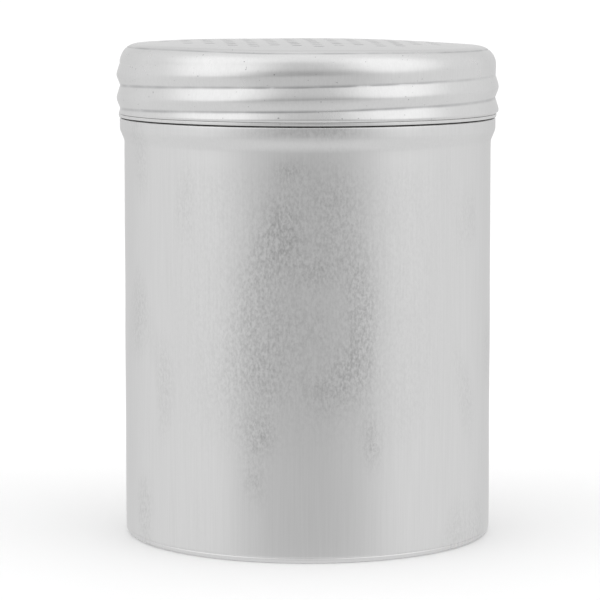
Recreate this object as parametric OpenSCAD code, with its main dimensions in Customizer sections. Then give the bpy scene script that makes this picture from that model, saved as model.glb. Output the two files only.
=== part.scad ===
// Screw-top aluminium shaker: a deep-drawn cup with a threaded neck, and a perforated screw lid.
// Millimetres. +Z is up, and the origin is the centre of the face that the tin stands on.

/* [Sheet] */
// Thickness of the aluminium sheet
sheet_t = 0.6; // [0.5:0.05:0.65]

/* [Body] */
// Outside radius of the straight wall
wall_r = 33.7; // [33.6:0.05:33.9]
// Radius of the corner between wall and foot
foot_r = 1.25; // [1:0.05:2]
// Height that the middle of the bottom is pushed up above the foot
kick_h = 0.9; // [0.5:0.1:1.5]
// Outside radius of the rolled bead below the lid
bead_r = 34.45; // [34.2:0.05:34.6]
// Height of the bead's top face
bead_top_z = 76.4; // [76:0.1:76.5]
// Height of the open rim of the neck
rim_z = 85.5; // [84.5:0.1:86]

/* [Lid] */
// Height of the lid's lower edge
lid_edge_z = 76.8; // [76.7:0.05:77]
// Height of the middle of the dome, which is the height of the whole tin
top_z = 90.8; // [90.5:0.1:92]
// Outside radius of the skirt between the thread's ridges
skirt_r = 34.45; // [34.4:0.05:34.5]
// Outside radius of the shoulder's rounding
shoulder_r = 3.4; // [2.5:0.1:4]
// Radius of the sphere that the dome is part of
dome_r = 480; // [300:10:500]
// Height of the plain hem at the lid's lower edge
hem_h = 0.6; // [0.4:0.05:0.7]
// Outside radius of the hem
hem_r = 34.7; // [34.65:0.05:34.8]

/* [Thread] */
// Rise of the thread in one turn, six turns to the inch
pitch = 4.2333; // [3.9:0.0001:4.5]
// Height of the rolled ridges above the sheet between them
thread_h = 0.55; // [0.4:0.05:0.55]
// Rounding of the narrow groove between two ridges
groove_w = 0.15; // [0.1:0.05:0.3]
// Radial gap between the lid's thread and the neck's thread
thread_gap = 0.3; // [0.25:0.05:0.35]
// Height of a ridge's crest at the +X side, which sets where the thread starts
crest_z = 78.1; // [78:0.1:79]

/* [Holes] */
// Diameter of the punched holes
hole_d = 1.6; // [1:0.1:2]
// Distance from hole to hole
hole_step = 4.3; // [3.5:0.1:5]
// Radius of the field of holes
field_r = 26.5; // [20:0.5:27]
// Turn of the grid of holes about the axis
grid_turn = 5; // [0:1:60]

/* [Hidden] */
$fn = 96;

// Straight facets round a threaded sleeve, a multiple of 4 so that both axes meet a corner
sides = 60;
// Heights at which a threaded sleeve has a ring of corners, per turn of the thread
rings_per_turn = 10;
ring_step = pitch / rings_per_turn;

// Neck: its plain radius clears the inside of the skirt by the gap
neck_r = skirt_r - sheet_t - thread_gap;
neck_start_z = 77.3;
// Bead: the wall swells out to it between these heights, and its upper edge is rounded
bead_from_z = 72.4;
bead_to_z = 74.8;
bead_edge_r = 0.4;
swell_steps = 6;
// Break between the bead's top face and the neck
neck_root = 0.25;
// Rim of the neck: its last stretch is drawn in on both sides
rim_break = 0.15;

// Lid: the height where the hem ends and the skirt begins, one running gap above the hem
seam_gap = 0.05;
skirt_start_z = lid_edge_z + hem_h + seam_gap;
skirt_top_z = 86;
// Half the length by which a sleeve's tapered end reaches into the solid that carries it
tongue = 0.3;
// Height over which the skirt's foot spreads out to the hem
skirt_spread = 0.9;
// Wall left by the taper at a tongue's tip
tongue_inset = 0.15;
// Radial room between the neck's crest and the hem's bore
hem_gap = 0.25;
hem_bore_r = neck_r + thread_h + hem_gap;
// Break of the hem's outer corner
hem_break = 0.12;

// Bottom: the foot ring is flat between these radii, and the pushed-up middle ends inside them
foot_flat_r = 30.2;
kick_r = 28.6;

// Dome and shoulder: height of the dome's surface at a radius, and the shoulder's centre
function dome_z(r) = top_z - dome_r + sqrt(dome_r * dome_r - r * r);
shoulder_x = skirt_r - shoulder_r;
shoulder_z = dome_z(shoulder_x) - shoulder_r;

// 0 below the height from, 1 above the height to, and smooth between
function ease(z, from, to) =
    let (t = min(1, max(0, (z - from) / (to - from))))
    t * t * (3 - 2 * t);

// Height of the ridge at a place on the thread: 1 on a crest, near 0 in a groove.
// The ridges are full and round, and meet in narrow grooves.
function from_groove(z, a) =
    let (turns = (z - crest_z) / pitch - a / 360)
    norm([0.5 - abs(turns - round(turns)), groove_w / pitch]);
function ridge(z, a) = 1 - pow(1 - 2 * from_groove(z, a), 2);

// Outside radius of the wall where it swells into the bead
function bead_out(z) = wall_r + (bead_r - wall_r) * ease(z, bead_from_z, bead_to_z);

// Points on an arc, from one angle to another
function arc(cx, cz, r, from, to, count) =
    [for (i = [0 : count]) let (a = from + (to - from) * i / count) [cx + r * cos(a), cz + r * sin(a)]];

// Skirt of the lid: the ridges start above the hem and die out below the shoulder
skirt_fade_from = 84.2;
skirt_fade_to = 86;
skirt_foot_to = skirt_start_z + skirt_spread;
function skirt_rise(z, a) = thread_h * ridge(z, a) * (1 - ease(z, skirt_fade_from, skirt_fade_to));
function skirt_foot(z) = ease(z, skirt_start_z, skirt_foot_to);
function skirt_out(z, a) = hem_r + (skirt_r + skirt_rise(z, a) - hem_r) * skirt_foot(z);
function skirt_in(z, a) = hem_bore_r + (skirt_r - sheet_t + skirt_rise(z, a) - hem_bore_r) * skirt_foot(z);

// Neck of the body: the ridges rise out of the plain neck and die out below the rim
neck_fade_in_to = neck_start_z + 1;
neck_fade_out_from = 83;
neck_fade_out_to = 84.8;
function neck_fade(z) =
    ease(z, neck_start_z, neck_fade_in_to) * (1 - ease(z, neck_fade_out_from, neck_fade_out_to));
function neck_rise(z, a) = thread_h * ridge(z, a) * neck_fade(z);
function neck_out(z, a) = neck_r + neck_rise(z, a);
function neck_in(z, a) = neck_r - sheet_t + neck_rise(z, a);

// A sleeve with helical walls. Each level is [height, inset]: inset thins the wall from both faces.
module threaded_sleeve(levels, outside, inside) {
    rows = len(levels);
    function corner(r, a, z) = [r * cos(a), r * sin(a), z];
    outer = [for (l = levels) for (i = [0 : sides - 1]) let (a = 360 * i / sides)
        corner(outside(l[0], a) - l[1], a, l[0])];
    inner = [for (l = levels) for (i = [0 : sides - 1]) let (a = 360 * i / sides)
        corner(inside(l[0], a) + l[1], a, l[0])];
    base = rows * sides;
    last = (rows - 1) * sides;
    function next(i) = (i + 1) % sides;
    walls = [for (k = [0 : rows - 2]) for (i = [0 : sides - 1]) each [
        [k * sides + i, k * sides + next(i) + sides, k * sides + next(i)],
        [k * sides + i, k * sides + i + sides, k * sides + next(i) + sides],
        [base + k * sides + i, base + k * sides + next(i), base + k * sides + next(i) + sides],
        [base + k * sides + i, base + k * sides + next(i) + sides, base + k * sides + i + sides]]];
    ends = [for (i = [0 : sides - 1]) each [
        [i, next(i), base + next(i)],
        [i, base + next(i), base + i],
        [last + i, base + last + next(i), last + next(i)],
        [last + i, base + last + i, base + last + next(i)]]];
    polyhedron(points = concat(outer, inner), faces = concat(walls, ends));
}

// Foot, wall, bead and the plain start of the neck, as one spun section
module cup() {
    step_z = bead_top_z - sheet_t;
    neck_bore_r = neck_r - sheet_t;
    swell = [for (i = [0 : swell_steps]) bead_from_z + (bead_to_z - bead_from_z) * i / swell_steps];
    outer = concat(
        [[0, kick_h], [kick_r, kick_h], [foot_flat_r, 0]],
        arc(wall_r - foot_r, foot_r, foot_r, -90, 0, 6),
        [for (z = swell) [bead_out(z), z]],
        arc(bead_r - bead_edge_r, bead_top_z - bead_edge_r, bead_edge_r, 0, 90, 3),
        [[neck_r + neck_root, bead_top_z], [neck_r, bead_top_z + neck_root], [neck_r, neck_start_z]]);
    inner = concat(
        [[neck_bore_r, neck_start_z], [neck_bore_r, bead_top_z], [neck_bore_r + neck_root, step_z]],
        [[bead_r - sheet_t, step_z - bead_edge_r]],
        [for (i = [swell_steps : -1 : 0]) [bead_out(swell[i]) - sheet_t, swell[i]]],
        arc(wall_r - foot_r, foot_r, foot_r - sheet_t, 0, -90, 5),
        [[foot_flat_r, sheet_t], [kick_r, kick_h + sheet_t], [0, kick_h + sheet_t]]);
    rotate_extrude() polygon(concat(outer, inner));
}

module body() {
    levels = concat(
        [[neck_start_z - tongue, tongue_inset], [neck_start_z + tongue, 0]],
        [for (z = [neck_start_z + 2 * tongue : ring_step : rim_z - 2 * rim_break]) [z, 0]],
        [[rim_z - rim_break, 0], [rim_z, rim_break]]);
    color([0.76, 0.77, 0.78]) union() {
        cup();
        threaded_sleeve(levels, function (z, a) neck_out(z, a), function (z, a) neck_in(z, a));
    }
}

// Dome, shoulder and the plain top of the skirt, as one spun section with true arcs
module cap_shell() {
    rotate_extrude() difference() {
        cap_section(skirt_r, shoulder_r, dome_r);
        cap_section(skirt_r - sheet_t, shoulder_r - sheet_t, dome_r - sheet_t);
        square([skirt_r - sheet_t, shoulder_z]);
    }
}

// Half section of the cap's solid: dome above, shoulder arc, and the wall down to the skirt
module cap_section(r, corner_r, sphere_r) {
    intersection() {
        union() {
            translate([0, skirt_top_z]) square([shoulder_x, top_z - skirt_top_z]);
            translate([0, skirt_top_z]) square([r, shoulder_z - skirt_top_z]);
            translate([shoulder_x, shoulder_z]) circle(corner_r);
        }
        translate([0, top_z - dome_r]) circle(sphere_r, $fn = 720);
        translate([0, skirt_top_z]) square([r, top_z]);
    }
}

// Grid of holes with equal spacing in three directions, cut off by a circle
module hole_field() {
    reach = ceil(field_r / hole_step) + 2;
    row_step = hole_step * sqrt(3) / 2;
    rotate(grid_turn)
        for (i = [-reach : reach])
            for (j = [-reach : reach]) {
                x = i * row_step;
                y = (j + (abs(i) % 2) / 2) * hole_step;
                if (norm([x, y]) <= field_r)
                    translate([x, y, shoulder_z])
                        cylinder(d = hole_d, h = 2 * (top_z - shoulder_z), $fn = 24);
            }
}

module lid() {
    levels = concat(
        [[skirt_start_z, 0]],
        [for (z = [skirt_start_z + ring_step : ring_step : skirt_top_z - 2 * tongue]) [z, 0]],
        [[skirt_top_z - tongue, 0], [skirt_top_z + tongue, tongue_inset]]);
    color([0.80, 0.81, 0.82]) union() {
        difference() {
            cap_shell();
            hole_field();
        }
        threaded_sleeve(levels, function (z, a) skirt_out(z, a), function (z, a) skirt_in(z, a));
    }
}

// Plain ring at the lid's lower edge, with its outer corners broken
module lid_hem() {
    hem_top_z = lid_edge_z + hem_h;
    color([0.72, 0.73, 0.74]) rotate_extrude() polygon([
        [hem_bore_r, lid_edge_z],
        [hem_r - hem_break, lid_edge_z],
        [hem_r, lid_edge_z + hem_break],
        [hem_r, hem_top_z],
        [hem_bore_r, hem_top_z]]);
}

body();
lid();
lid_hem();
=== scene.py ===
import math
import bpy
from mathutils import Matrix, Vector, noise


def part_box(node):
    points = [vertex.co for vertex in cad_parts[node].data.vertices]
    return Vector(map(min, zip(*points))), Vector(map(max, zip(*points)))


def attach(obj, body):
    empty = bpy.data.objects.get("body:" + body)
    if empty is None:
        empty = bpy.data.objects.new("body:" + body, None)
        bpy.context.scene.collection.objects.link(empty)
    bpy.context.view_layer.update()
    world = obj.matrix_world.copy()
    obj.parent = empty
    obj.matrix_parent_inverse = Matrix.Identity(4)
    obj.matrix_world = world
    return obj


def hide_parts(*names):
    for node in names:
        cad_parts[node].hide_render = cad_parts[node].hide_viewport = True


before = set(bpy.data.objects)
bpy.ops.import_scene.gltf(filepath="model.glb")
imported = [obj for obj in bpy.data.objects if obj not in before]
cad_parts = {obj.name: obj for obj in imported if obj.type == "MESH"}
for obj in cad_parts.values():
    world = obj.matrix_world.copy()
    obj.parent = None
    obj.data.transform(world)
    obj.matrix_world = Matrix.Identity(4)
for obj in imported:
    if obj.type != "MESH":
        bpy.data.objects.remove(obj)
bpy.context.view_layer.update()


# --------------------------------------------------------------------------------------------------
# Body: one cup deep-drawn from aluminium sheet. The press leaves a pushed-up bottom and fine upright
# draw lines. A bead and a screw thread are then rolled into its neck, which the lid covers.
# --------------------------------------------------------------------------------------------------
MM = 0.001
SIDES = 240
SHEET = 0.6

# Radii and heights of the cup, in millimetres. The wall tapers a little and is tucked in at the foot.
body_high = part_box("body")[1]
BEAD_R = body_high[0] / MM
RIM_Z = body_high[2] / MM
WALL_R_FOOT = 33.74
WALL_R_TOP = 33.62
WAVE = 0.06
WAVE_SPAN = 14
FOOT_CORNER_R = 0.95
FOOT_FLAT_R = 30.3
KICK_R = 28.4
KICK_H = 0.9
TUCK = 0.06
TUCK_H = 2.8
FINE_ROWS_TO_Z = 5.0
HAIRLINE_DEPTH = 0.09
HAIRLINE_H = 0.12
SWELL_FROM_Z = 72.1
SWELL_TO_Z = 74.9
BEAD_FACE_Z = 75.5
BEAD_TOP_Z = 76.64
BEAD_EDGE_R = 0.35
NECK_R = 33.55
NECK_EDGE_R = 0.25

# The thread of neck and lid: six turns to the inch. A ridge's crest crosses +X at CREST_Z.
PITCH = 4.2333
CREST_Z = 78.05
RIDGE_H = 0.55
GROOVE_DEPTH = 1.2
UNDER_CREST = 0.45
ROUNDING = 0.2
NECK_THREAD_FROM_Z = 77.3
NECK_THREAD_TO_Z = 84.8


def ease(value, low, high):
    """0 below low, 1 above high, and smooth between."""
    t = min(1.0, max(0.0, (value - low) / (high - low)))
    return t * t * (3 - 2 * t)


def from_crest(z, angle):
    """Height of a place above the crest of the ridge that it is on, in turns of the thread."""
    turns = (z - CREST_Z) / PITCH - angle / (2 * math.pi)
    return turns - math.floor(turns + UNDER_CREST)


def ridge(z, angle):
    """Height of the rolled thread at a place: 1 at the crest, which is rounded. Straight flanks meet in
    narrow grooves."""
    above = from_crest(z, angle)
    share = above / (1 - UNDER_CREST) if above > 0 else -above / UNDER_CREST
    fall = (math.hypot(share, ROUNDING) - ROUNDING) / (math.hypot(1, ROUNDING) - ROUNDING)
    return 1 - GROOVE_DEPTH * fall


def arc(centre_r, centre_z, radius, start, end, steps):
    """Points on a round corner of the section, with angles in degrees."""
    angles = [math.radians(start + (end - start) * i / steps) for i in range(steps + 1)]
    return [(centre_r + radius * math.cos(a), centre_z + radius * math.sin(a)) for a in angles]


def rows(first, last, step):
    """Heights from first to last, evenly spaced at about a step."""
    count = max(1, round(abs(last - first) / step))
    return [first + (last - first) * i / count for i in range(count + 1)]


def nothing_selected():
    """Deselects every object, so that an operator acts on the next one alone."""
    for item in bpy.context.selected_objects:
        item.select_set(False)


def new_disc(name, radius, height, sides, fill):
    """A flat round blank, open in edit mode with its outer edge selected."""
    nothing_selected()
    bpy.ops.mesh.primitive_circle_add(
        vertices=sides, radius=radius * MM, fill_type=fill, location=(0, 0, height * MM))
    piece = bpy.context.object
    piece.name = name
    bpy.ops.object.transform_apply(location=True)
    bpy.ops.object.mode_set(mode="EDIT")
    bpy.ops.mesh.select_all(action="SELECT")
    bpy.ops.mesh.region_to_loop()
    return piece


def draw_up(section):
    """Extrudes the selected round edge through the (radius, height) points of a section, in millimetres."""
    for (r0, z0), (r1, z1) in zip(section, section[1:]):
        bpy.ops.mesh.extrude_region_move(TRANSFORM_OT_translate={"value": (0, 0, (z1 - z0) * MM)})
        bpy.ops.transform.resize(value=(r1 / r0, r1 / r0, 1), center_override=(0, 0, 0))


def close_skin(piece):
    """Merges doubles, points the faces outwards and leaves edit mode."""
    bpy.ops.mesh.select_all(action="SELECT")
    bpy.ops.mesh.remove_doubles(threshold=0.002 * MM)
    bpy.ops.mesh.normals_make_consistent(inside=False)
    bpy.ops.object.mode_set(mode="OBJECT")


def apply_modifiers(piece):
    """Makes the modifiers of a piece part of its mesh."""
    bpy.context.view_layer.objects.active = piece
    for modifier in list(piece.modifiers):
        bpy.ops.object.modifier_apply(modifier=modifier.name)


def smooth_by_angle(piece, degrees):
    """Smooths a piece, except at edges that turn by more than an angle."""
    nothing_selected()
    piece.select_set(True)
    bpy.context.view_layer.objects.active = piece
    bpy.ops.object.shade_smooth_by_angle(angle=math.radians(degrees))


def wall_r(z):
    """Radius of the drawn wall: tucked in at the foot, nearly straight, and swelling out into the bead."""
    straight = WALL_R_FOOT + (WALL_R_TOP - WALL_R_FOOT) * z / SWELL_FROM_Z
    tuck = TUCK * max(0.0, 1 - (z - FOOT_CORNER_R) / TUCK_H) ** 2
    return straight - tuck + (BEAD_R - straight) * ease(z, SWELL_FROM_Z, SWELL_TO_Z)


# The drawing die leaves a hairline where the wall runs into the foot's rounding
foot_r = WALL_R_FOOT - TUCK
foot_corner = arc(foot_r - FOOT_CORNER_R, FOOT_CORNER_R, FOOT_CORNER_R, -90, -8, 9)
wall_foot_z = FOOT_CORNER_R + HAIRLINE_H
hairline = [(foot_r - HAIRLINE_DEPTH, FOOT_CORNER_R + 0.02), (foot_r, wall_foot_z)]
body_section = (
    [(KICK_R, KICK_H)]
    + [(r, KICK_H * (1 - ease(r, KICK_R, FOOT_FLAT_R))) for r in rows(KICK_R, FOOT_FLAT_R, 0.24)[1:]]
    + foot_corner
    + hairline
    + [(wall_r(z), z) for z in rows(wall_foot_z, FINE_ROWS_TO_Z, 0.3)[1:]]
    + [(wall_r(z), z) for z in rows(FINE_ROWS_TO_Z, SWELL_FROM_Z, 1.0)[1:]]
    + [(wall_r(z), z) for z in rows(SWELL_FROM_Z, SWELL_TO_Z, 0.2)[1:]]
    + [(BEAD_R, BEAD_FACE_Z)]
    + arc(BEAD_R - BEAD_EDGE_R, BEAD_TOP_Z - BEAD_EDGE_R, BEAD_EDGE_R, 0, 90, 6)
    + arc(NECK_R + NECK_EDGE_R, BEAD_TOP_Z + NECK_EDGE_R, NECK_EDGE_R, -90, -180, 4)
    + [(NECK_R, z) for z in rows(BEAD_TOP_Z + NECK_EDGE_R, RIM_Z, 0.2)[1:]]
)

body = new_disc("drawn_body", KICK_R, KICK_H, SIDES, "TRIFAN")
draw_up(body_section)
close_skin(body)

# A drawn wall is never quite true: between its stiff foot and bead it waves by a few hundredths
for vertex in body.data.vertices:
    z = vertex.co.z / MM
    if FOOT_CORNER_R < z < BEAD_TOP_Z:
        free = ease(z, FOOT_CORNER_R, 8) * (1 - ease(z, 70, 73))
        wave = noise.noise(vertex.co / (WAVE_SPAN * MM)) * WAVE * free
        vertex.co.xy *= 1 + wave / WALL_R_FOOT

# The thread is rolled outwards into the neck. It starts above the bead and runs out below the rim.
for vertex in body.data.vertices:
    z = vertex.co.z / MM
    if z > NECK_THREAD_FROM_Z:
        angle = math.atan2(vertex.co.y, vertex.co.x)
        run_in = ease(z, NECK_THREAD_FROM_Z, NECK_THREAD_FROM_Z + 1)
        run_out = 1 - ease(z, NECK_THREAD_TO_Z - 1.8, NECK_THREAD_TO_Z)
        vertex.co.xy *= 1 + RIDGE_H * ridge(z, angle) * run_in * run_out / NECK_R

sheet = body.modifiers.new("sheet", "SOLIDIFY")
sheet.thickness = SHEET * MM
sheet.offset = -1
apply_modifiers(body)
smooth_by_angle(body, 40)
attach(body, "body")
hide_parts("body")


def linear(hex_colour):
    """sRGB hex to the linear colour that shader sockets take."""
    parts = [int(hex_colour[i:i + 2], 16) / 255 for i in (0, 2, 4)]
    return tuple(c / 12.92 if c <= 0.04045 else ((c + 0.055) / 1.055) ** 2.4 for c in parts) + (1.0,)


def add_node(material, kind, inputs, **settings):
    """Adds one node: settings are its own fields, inputs are values or the sockets that feed them."""
    tree = material.node_tree
    made = tree.nodes.new(kind)
    for key, value in settings.items():
        setattr(made, key, value)
    for key, value in inputs.items():
        if isinstance(value, bpy.types.NodeSocket):
            tree.links.new(value, made.inputs[key])
        else:
            made.inputs[key].default_value = value
    return made


def new_material(name):
    """An empty material, to which nodes are added."""
    material = bpy.data.materials.new(name)
    material.use_nodes = True
    material.node_tree.nodes.clear()
    return material


# Years of handling leave dull grey patches on the front of the bare wall. Each has its place to the
# side, its height, its half width, its half height and its strength.
HANDLED = [
    (-4.6, 57.5, 3.6, 7.0, 0.6), (4.5, 61.0, 5.0, 9.0, 0.35), (1.2, 51.5, 3.4, 3.6, 0.45),
    (9.6, 43.0, 2.6, 7.0, 0.5), (7.5, 35.0, 3.6, 3.8, 0.45), (2.6, 30.5, 4.5, 3.0, 0.3),
    (-7.6, 34.0, 5.0, 8.0, 0.5), (-8.4, 22.5, 2.8, 3.8, 0.6), (-9.4, 14.5, 2.0, 3.6, 0.4),
    (11.2, 20.5, 1.5, 4.0, 0.5), (-3.4, 69.0, 2.8, 2.0, 0.5), (-8.5, 46.5, 4.0, 6.0, 0.35),
    (0.0, 42.0, 7.0, 5.0, 0.22), (0.0, 75.6, 13.0, 0.9, 0.4)]
FILM = 0.17
CLOUDS = 0.7
CLOUD_SPAN = 8.5
CLOUD_SQUASH = 0.45
CLOUD_START = Vector((0, 0, 3.7))


def handled(place):
    """How dull the wall is at a place: in front a grey film with the patches, elsewhere drifting clouds."""
    x, y, z = place / MM
    cloud = noise.noise(Vector((x, y, z * CLOUD_SQUASH)) / CLOUD_SPAN + CLOUD_START)
    front = ease(-y, 20, 31)
    film = FILM * ease(z, 14, 30) * (1 - ease(z, 66, 72))
    dull = front * film + CLOUDS * (1 - front) * max(0.0, cloud - 0.05)
    for side, height, half_w, half_h, strength in HANDLED:
        reach = ((x - side) / half_w) ** 2 + ((z - height) / half_h) ** 2
        dull += front * strength * math.exp(-reach * (1 + cloud))
    return min(1.0, dull)


patches = body.data.attributes.new("handled", "FLOAT", "POINT")
for vertex in body.data.vertices:
    patches.data[vertex.index].value = handled(vertex.co)

# Bare drawn aluminium, never polished: a soft grey shine that is streaked upwards by the die. The
# finest lines are a few hundredths wide and are drawn at 0.25 mm, so that they show. Handled patches
# are speckled dark by a grain that is drawn at nearly half a millimetre, coarser than the real one so
# that it shows, and are a little smoother than the clean sheet.
LINE_W = 0.25
LINE_LENGTH = 14
GRAIN_W = 0.44
GRAIN_H = 0.792
RELIEF = 0.01
drawn = new_material("drawn_aluminium")
place = add_node(drawn, "ShaderNodeTexCoord", {}).outputs["Object"]
lines_at = add_node(drawn, "ShaderNodeMapping", {
    "Vector": place, "Scale": (1 / (LINE_W * MM), 1 / (LINE_W * MM), 1 / (LINE_LENGTH * MM))})
lines = add_node(drawn, "ShaderNodeTexNoise", {
    "Vector": lines_at.outputs["Vector"], "Scale": 1.0, "Detail": 2.0})
grain_at = add_node(drawn, "ShaderNodeMapping", {
    "Vector": place, "Scale": (1 / (GRAIN_W * MM), 1 / (GRAIN_W * MM), 1 / (GRAIN_H * MM))})
grain = add_node(drawn, "ShaderNodeTexNoise", {
    "Vector": grain_at.outputs["Vector"], "Scale": 1.0, "Detail": 3.0, "Roughness": 0.7})
specks = add_node(drawn, "ShaderNodeMapRange", {
    "Value": grain.outputs["Fac"], "From Min": 0.38, "From Max": 0.68, "To Min": 0.0, "To Max": 1.0})
dull = add_node(drawn, "ShaderNodeAttribute", {}, attribute_name="handled")
dark = add_node(drawn, "ShaderNodeMath", {
    0: specks.outputs["Result"], 1: dull.outputs["Fac"]}, operation="MULTIPLY")
streaks = add_node(drawn, "ShaderNodeMapRange", {
    "Value": lines.outputs["Fac"], "From Min": 0.3, "From Max": 0.7, "To Min": 0.0, "To Max": 1.0})
clean = add_node(drawn, "ShaderNodeMix", {
    "Factor": streaks.outputs["Result"], "A": linear("CDCDCD"), "B": linear("D1D1D1")}, data_type="RGBA")
colour = add_node(drawn, "ShaderNodeMix", {
    "Factor": dark.outputs["Value"], "A": clean.outputs["Result"], "B": linear("9B9B9B")}, data_type="RGBA")
gloss = add_node(drawn, "ShaderNodeMapRange", {
    "Value": dull.outputs["Fac"], "From Min": 0.0, "From Max": 1.0, "To Min": 0.38, "To Max": 0.30})
relief = add_node(drawn, "ShaderNodeMath", {
    0: lines.outputs["Fac"], 1: grain.outputs["Fac"]}, operation="ADD")
bump = add_node(drawn, "ShaderNodeBump", {
    "Height": relief.outputs["Value"], "Strength": 0.25, "Distance": RELIEF * MM})
skin = add_node(drawn, "ShaderNodeBsdfPrincipled", {
    "Base Color": colour.outputs["Result"], "Metallic": 1.0, "Roughness": gloss.outputs["Result"],
    "Normal": bump.outputs["Normal"]})
add_node(drawn, "ShaderNodeOutputMaterial", {"Surface": skin.outputs["BSDF"]})
body.data.materials.clear()
body.data.materials.append(drawn)


# --------------------------------------------------------------------------------------------------
# Lid: one cap pressed from the same sheet. Its low dome is punched with a field of small holes, which
# the punch rolls over at their edges. A right-hand thread is rolled into its skirt and shows outside.
# --------------------------------------------------------------------------------------------------
lid_low, lid_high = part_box("lid")
TOP_Z = lid_high[2] / MM
SKIRT_FOOT_Z = lid_low[2] / MM
SKIRT_R = lid_high[0] / MM - RIDGE_H
SHOULDER_R = 3.4
SHOULDER_TOP_Z = 88.0
CREASE_TURN = 56
DOME_R = 480.0
LIP_R = 34.62
LEFT_UP = 0.33
RIGHT_DOWN = 0.15

# The punched field: holes on a six-sided grid, which was turned by chance when the lid was pressed
HOLE_D = 1.6
HOLE_STEP = 4.3
HOLE_ROLL = [(0.3, 0), (0.1, -0.04), (0, -0.14)]
FIELD_R = 26.5
BORDER_R = 29.4
GRID_TURN = 5.0


def dome_z(r):
    """Height of the true dome at a radius."""
    return TOP_Z - DOME_R + math.sqrt(DOME_R ** 2 - r ** 2)


def open_edges(piece):
    """The edges of a mesh that have fewer than two faces."""
    faces_at = {}
    for face in piece.data.polygons:
        for key in face.edge_keys:
            faces_at[key] = faces_at.get(key, 0) + 1
    return [edge for edge in piece.data.edges if faces_at.get(edge.key, 0) < 2]


def skirt_rise(z, angle):
    """Height of the skirt's rolled thread, whose ridge runs out as it climbs to the shoulder."""
    crest_z = z - from_crest(z, angle) * PITCH
    run_out = 1 - ease(crest_z, 84.3, 86.8)
    return RIDGE_H * ridge(z, angle) * run_out * (1 - ease(z, SHOULDER_TOP_Z - 2, SHOULDER_TOP_Z))


# One six-sided cell of the punched field, with round inner rings that roll over into the hole's edge
nothing_selected()
bpy.ops.mesh.primitive_circle_add(
    vertices=6, radius=HOLE_STEP / math.sqrt(3) * MM, fill_type="NGON", rotation=(0, 0, math.radians(30)))
cell = bpy.context.object
cell.name = "punched_cell"
bpy.ops.object.transform_apply(rotation=True)
bpy.ops.object.mode_set(mode="EDIT")
bpy.ops.mesh.select_all(action="SELECT")
bpy.ops.mesh.subdivide(number_cuts=2)
bpy.ops.mesh.select_all(action="SELECT")
bpy.ops.mesh.inset(thickness=0.5 * MM)
bpy.ops.transform.tosphere(value=1.0, center_override=(0, 0, 0))
bpy.ops.object.mode_set(mode="OBJECT")
inner_r = min(vertex.co.length for vertex in cell.data.vertices) / MM
bpy.ops.object.mode_set(mode="EDIT")
draw_up([(inner_r, 0)] + [(HOLE_D / 2 + out, down) for out, down in HOLE_ROLL])
bpy.ops.mesh.delete(type="FACE")
bpy.ops.object.mode_set(mode="OBJECT")

# The field: one copy of the cell at each place of the grid that lies inside the field's circle
cells = []
reach = math.ceil(FIELD_R / HOLE_STEP) + 2
for i in range(-reach, reach + 1):
    for j in range(-reach, reach + 1):
        x = i * HOLE_STEP * math.sqrt(3) / 2
        y = (j + (abs(i) % 2) / 2) * HOLE_STEP
        if math.hypot(x, y) <= FIELD_R:
            copy = bpy.data.objects.new("punched_cell", cell.data.copy())
            copy.location = (x * MM, y * MM, 0)
            bpy.context.collection.objects.link(copy)
            cells.append(copy)
bpy.data.objects.remove(cell)
nothing_selected()
for copy in cells:
    copy.select_set(True)
lid = cells[0]
bpy.context.view_layer.objects.active = lid
bpy.ops.object.join()
lid.name = "pressed_lid"
lid.rotation_euler.z = math.radians(GRID_TURN)
bpy.ops.object.transform_apply(location=True, rotation=True)

# The zigzag edge of the outermost cells is drawn out onto an even circle, to leave a plain border
bpy.ops.object.mode_set(mode="EDIT")
bpy.ops.mesh.select_all(action="SELECT")
bpy.ops.mesh.remove_doubles(threshold=0.02 * MM)
bpy.ops.mesh.select_all(action="DESELECT")
bpy.ops.mesh.select_mode(type="EDGE")
bpy.ops.object.mode_set(mode="OBJECT")
corners = lid.data.vertices
for edge in open_edges(lid):
    edge.select = any(corners[i].co.z > -0.1 * MM for i in edge.vertices)
border = {i: math.atan2(corners[i].co.y, corners[i].co.x)
          for edge in lid.data.edges if edge.select for i in edge.vertices}
outline = sorted(border, key=border.get)
step = 2 * math.pi / len(outline)
start = sum(border[i] - n * step for n, i in enumerate(outline)) / len(outline)
for n, i in enumerate(outline):
    turn = start + n * step
    corners[i].co.xy = (BORDER_R * MM * math.cos(turn), BORDER_R * MM * math.sin(turn))

# The flat panel is raised to its dome, and its round edge is drawn down over the shoulder into the
# skirt. The press leaves a fine crease where the shoulder begins to turn.
for vertex in corners:
    vertex.co.z += dome_z(vertex.co.xy.length / MM) * MM
shoulder_r = SKIRT_R - SHOULDER_R
shoulder_z = dome_z(shoulder_r) - SHOULDER_R
lid_section = (
    [(r, dome_z(r)) for r in rows(BORDER_R, shoulder_r, 0.4)]
    + arc(shoulder_r, shoulder_z, SHOULDER_R, 86, CREASE_TURN, 6)
    + arc(shoulder_r, shoulder_z, SHOULDER_R - 0.05, CREASE_TURN - 3.5, CREASE_TURN - 4.5, 1)
    + arc(shoulder_r, shoulder_z, SHOULDER_R, 48, 0, 12)
    + [(SKIRT_R, z) for z in rows(shoulder_z, SKIRT_FOOT_Z, 0.15)[1:]]
)
bpy.ops.object.mode_set(mode="EDIT")
draw_up(lid_section)
close_skin(lid)

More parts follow.
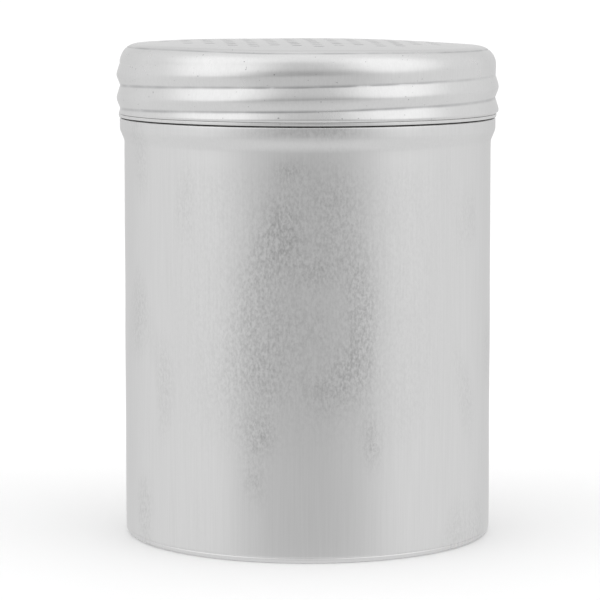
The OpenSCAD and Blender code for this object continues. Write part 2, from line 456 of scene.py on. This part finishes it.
# The shoulder's crease is darkened with painted shade, standing in for the shade of the fine crease. The
# holes' rolled edges are darkened too.
CREASE_Z = shoulder_z + SHOULDER_R * math.sin(math.radians(CREASE_TURN))
dark_rims_and_painted_shade = lid.data.attributes.new("dark_rims_and_painted_shade", "FLOAT", "POINT")
for vertex in lid.data.vertices:
    z = vertex.co.z / MM
    radius = vertex.co.xy.length / MM
    in_hole = 0.8 * ease(dome_z(radius) - z, 0.02, 0.06) * (radius < BORDER_R)
    in_crease = 0.6 * (1 - ease(abs(z - CREASE_Z), 0.05, 0.2)) * (radius > shoulder_r)
    dark_rims_and_painted_shade.data[vertex.index].value = max(in_hole, in_crease)

# Knocks have left the dome a little out of true: up on one side and down on the other
for vertex in lid.data.vertices:
    side = vertex.co.x / MM
    knocked = LEFT_UP * ease(-side, 6, 26) - RIGHT_DOWN * ease(side, 8, 30)
    vertex.co.z += knocked * ease(vertex.co.z / MM, shoulder_z, shoulder_z + 3) * MM

# The thread is rolled outwards into the skirt, which meets the plain lip at its foot. Its grooves are
# darkened with painted shade, standing in for the shade deep in them.
for vertex in lid.data.vertices:
    z = vertex.co.z / MM
    if z < SHOULDER_TOP_Z:
        radius = vertex.co.xy.length / MM
        angle = math.atan2(vertex.co.y, vertex.co.x)
        threaded = radius + skirt_rise(z, angle)
        share = from_crest(z, angle) + UNDER_CREST
        to_groove = min(share, 1 - share) * PITCH
        threaded_part = ease(z, 77.5, 78.2) * (1 - ease(z, 83.5, 85.0))
        in_groove = 0.45 * (1 - ease(to_groove, 0.05, 0.4)) * threaded_part
        dark_rims_and_painted_shade.data[vertex.index].value = max(dark_rims_and_painted_shade.data[vertex.index].value, in_groove)
        vertex.co.xy *= (LIP_R + (threaded - LIP_R) * ease(z, SKIRT_FOOT_Z, SKIRT_FOOT_Z + 0.4)) / radius

# The sheet thins to under half towards the skirt's foot, to leave room for the neck's thread to pass
THIN_SHARE = 0.45
sheet_group = lid.vertex_groups.new(name="full_sheet")
for vertex in lid.data.vertices:
    sheet_group.add([vertex.index], ease(vertex.co.z / MM, SKIRT_FOOT_Z, SKIRT_FOOT_Z + 0.9), "REPLACE")
sheet = lid.modifiers.new("sheet", "SOLIDIFY")
sheet.thickness = SHEET * MM
sheet.offset = -1
sheet.vertex_group = "full_sheet"
sheet.thickness_vertex_group = THIN_SHARE
apply_modifiers(lid)
lid.vertex_groups.clear()
smooth_by_angle(lid, 40)
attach(lid, "lid")
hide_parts("lid")

# Bare pressed aluminium, a little smoother than the wall: the same fine upright lines, drawn at 0.25 mm
# but shorter, soft clouds of wear, and a few dark specks of half a millimetre where it has pitted
SKIRT_LINE_LENGTH = 5
CLOUD_W = 6
SPECK_W = 0.5
pressed = new_material("pressed_aluminium")
place = add_node(pressed, "ShaderNodeTexCoord", {}).outputs["Object"]
lines_at = add_node(pressed, "ShaderNodeMapping", {
    "Vector": place, "Scale": (1 / (LINE_W * MM), 1 / (LINE_W * MM), 1 / (SKIRT_LINE_LENGTH * MM))})
lines = add_node(pressed, "ShaderNodeTexNoise", {
    "Vector": lines_at.outputs["Vector"], "Scale": 1.0, "Detail": 2.0})
clouds = add_node(pressed, "ShaderNodeTexNoise", {
    "Vector": place, "Scale": 1 / (CLOUD_W * MM), "Detail": 4.0})
pits = add_node(pressed, "ShaderNodeTexNoise", {
    "Vector": place, "Scale": 1 / (SPECK_W * MM), "Detail": 1.0})
pitted = add_node(pressed, "ShaderNodeMapRange", {
    "Value": pits.outputs["Fac"], "From Min": 0.74, "From Max": 0.80, "To Min": 0.0, "To Max": 0.8})
# Painted shade: the colour is darkened in the shoulder's crease and the thread's grooves, made patchy by
# the clouds; the holes' rolled edges are darkened the same way
rims_and_shade = add_node(pressed, "ShaderNodeAttribute", {}, attribute_name="dark_rims_and_painted_shade")
patchy = add_node(pressed, "ShaderNodeMapRange", {
    "Value": clouds.outputs["Fac"], "From Min": 0.35, "From Max": 0.60, "To Min": 0.4, "To Max": 1.0})
patchy_rims_and_shade = add_node(pressed, "ShaderNodeMath", {
    0: rims_and_shade.outputs["Fac"], 1: patchy.outputs["Result"]}, operation="MULTIPLY")
dark = add_node(pressed, "ShaderNodeMath", {
    0: patchy_rims_and_shade.outputs["Value"], 1: pitted.outputs["Result"]}, operation="MAXIMUM")
streaks = add_node(pressed, "ShaderNodeMapRange", {
    "Value": lines.outputs["Fac"], "From Min": 0.3, "From Max": 0.7, "To Min": 0.0, "To Max": 1.0})
clean = add_node(pressed, "ShaderNodeMix", {
    "Factor": streaks.outputs["Result"], "A": linear("CACACA"), "B": linear("CFCFCF")}, data_type="RGBA")
colour = add_node(pressed, "ShaderNodeMix", {
    "Factor": dark.outputs["Value"], "A": clean.outputs["Result"], "B": linear("7E7F81")}, data_type="RGBA")
gloss = add_node(pressed, "ShaderNodeMapRange", {
    "Value": clouds.outputs["Fac"], "From Min": 0.3, "From Max": 0.7, "To Min": 0.27, "To Max": 0.33})
bump = add_node(pressed, "ShaderNodeBump", {
    "Height": lines.outputs["Fac"], "Strength": 0.3, "Distance": RELIEF * MM})
skin = add_node(pressed, "ShaderNodeBsdfPrincipled", {
    "Base Color": colour.outputs["Result"], "Metallic": 1.0, "Roughness": gloss.outputs["Result"],
    "Normal": bump.outputs["Normal"]})
add_node(pressed, "ShaderNodeOutputMaterial", {"Surface": skin.outputs["BSDF"]})
lid.data.materials.clear()
lid.data.materials.append(pressed)


# --------------------------------------------------------------------------------------------------
# Lid hem: the plain trimmed edge of the lid's aluminium sheet, a narrow round band below the fold
# line. It rises with the lid and, being round, looks the same whether it turns or not.
# --------------------------------------------------------------------------------------------------
hem_low, hem_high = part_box("lid_hem")
HEM_LOW_Z = hem_low[2] / MM
HEM_HIGH_Z = hem_high[2] / MM
HEM_BORE_R = 34.36
HEM_EDGE_R = 0.1

hem = new_disc("trimmed_hem", HEM_BORE_R, HEM_LOW_Z, SIDES, "NOTHING")
hem_section = (
    [(HEM_BORE_R, HEM_LOW_Z)]
    + arc(LIP_R - HEM_EDGE_R, HEM_LOW_Z + HEM_EDGE_R, HEM_EDGE_R, -90, 0, 5)
    + arc(LIP_R - HEM_EDGE_R, HEM_HIGH_Z - HEM_EDGE_R, HEM_EDGE_R, 0, 90, 5)
    + [(HEM_BORE_R, HEM_HIGH_Z), (HEM_BORE_R, HEM_LOW_Z)]
)
bpy.ops.mesh.select_all(action="SELECT")
draw_up(hem_section)
close_skin(hem)
smooth_by_angle(hem, 40)
hem.data.materials.append(pressed)
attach(hem, "lid_edge")
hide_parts("lid_hem")


# --------------------------------------------------------------------------------------------------
# Studio: a plain floor of white paper in a white cloth tent. The tent is lit from outside, brightest
# overhead and at both sides, and is open towards the camera, where the room behind is darker.
# --------------------------------------------------------------------------------------------------
nothing_selected()
bpy.ops.mesh.primitive_plane_add(size=6, location=(0, 0, 0))
floor = bpy.context.object
floor.name = "floor"
floor.visible_glossy = False

# Matt white paper, uncoated, without any shine
paper = new_material("matt_white_paper")
skin = add_node(paper, "ShaderNodeBsdfPrincipled", {"Base Color": linear("F6F6F6"), "Roughness": 0.9})
add_node(paper, "ShaderNodeOutputMaterial", {"Surface": skin.outputs["BSDF"]})
floor.data.materials.append(paper)

TENT_LIGHT = 1.06
OVERHEAD_LIGHT = 1.22

# Soft-edged patches of the tent: the way they lie in, their edge and core in degrees from it, and how
# bright they are against the tent. Two lit sides, the opening, the room behind it, and the far wall.
SOFT_PATCHES = [
    ((-0.73, -0.42, 0.54), 39, 13, 1.42),
    ((0.71, -0.45, 0.54), 39, 13, 1.42),
    ((0, -1.0, -0.05), 52, 37, 0.785),
    ((-0.21, -0.96, 0.19), 23, 8, 0.71),
    ((0.21, -0.96, 0.19), 23, 8, 0.71),
    ((0, 1.0, 0.0), 62, 24, 0.83)]

world = bpy.data.worlds.new("white_tent")
bpy.context.scene.world = world
world.use_nodes = True
world.node_tree.nodes.clear()
toward = add_node(world, "ShaderNodeTexCoord", {}).outputs["Generated"]
height = add_node(world, "ShaderNodeSeparateXYZ", {"Vector": toward})
light = add_node(world, "ShaderNodeMapRange", {
    "Value": height.outputs["Z"], "From Min": 0.7, "From Max": 0.95,
    "To Min": TENT_LIGHT, "To Max": OVERHEAD_LIGHT}, interpolation_type="SMOOTHSTEP").outputs["Result"]
for aim, edge, core, level in SOFT_PATCHES:
    beside = add_node(world, "ShaderNodeVectorMath", {0: toward, 1: aim}, operation="DOT_PRODUCT")
    patch = add_node(world, "ShaderNodeMapRange", {
        "Value": beside.outputs["Value"], "From Min": math.cos(math.radians(edge)),
        "From Max": math.cos(math.radians(core)), "To Min": 1.0, "To Max": level},
        interpolation_type="SMOOTHSTEP")
    light = add_node(world, "ShaderNodeMath", {
        0: light, 1: patch.outputs["Result"]}, operation="MULTIPLY").outputs["Value"]
walls = add_node(world, "ShaderNodeBackground", {"Color": (1, 1, 1, 1), "Strength": light})
beyond = add_node(world, "ShaderNodeBackground", {"Color": (1, 1, 1, 1), "Strength": TENT_LIGHT})
seen = add_node(world, "ShaderNodeLightPath", {})
both = add_node(world, "ShaderNodeMixShader", {
    0: seen.outputs["Is Camera Ray"], 1: walls.outputs["Background"], 2: beyond.outputs["Background"]})
add_node(world, "ShaderNodeOutputWorld", {"Surface": both.outputs["Shader"]})

# A long lens half a metre in front, a little above the lid and looking down a little
CAMERA_PLACE = (-0.0014, -0.540, 0.1059)
CAMERA_PITCH = 0.1165
CAMERA_FOCAL = 176.3
nothing_selected()
bpy.ops.object.camera_add(location=CAMERA_PLACE, rotation=(math.pi / 2 - CAMERA_PITCH, 0, 0))
camera = bpy.context.object
camera.data.lens = CAMERA_FOCAL
camera.data.sensor_width = 36
camera.data.clip_start = 0.01
bpy.context.scene.camera = camera
bpy.context.scene.view_settings.view_transform = "Standard"
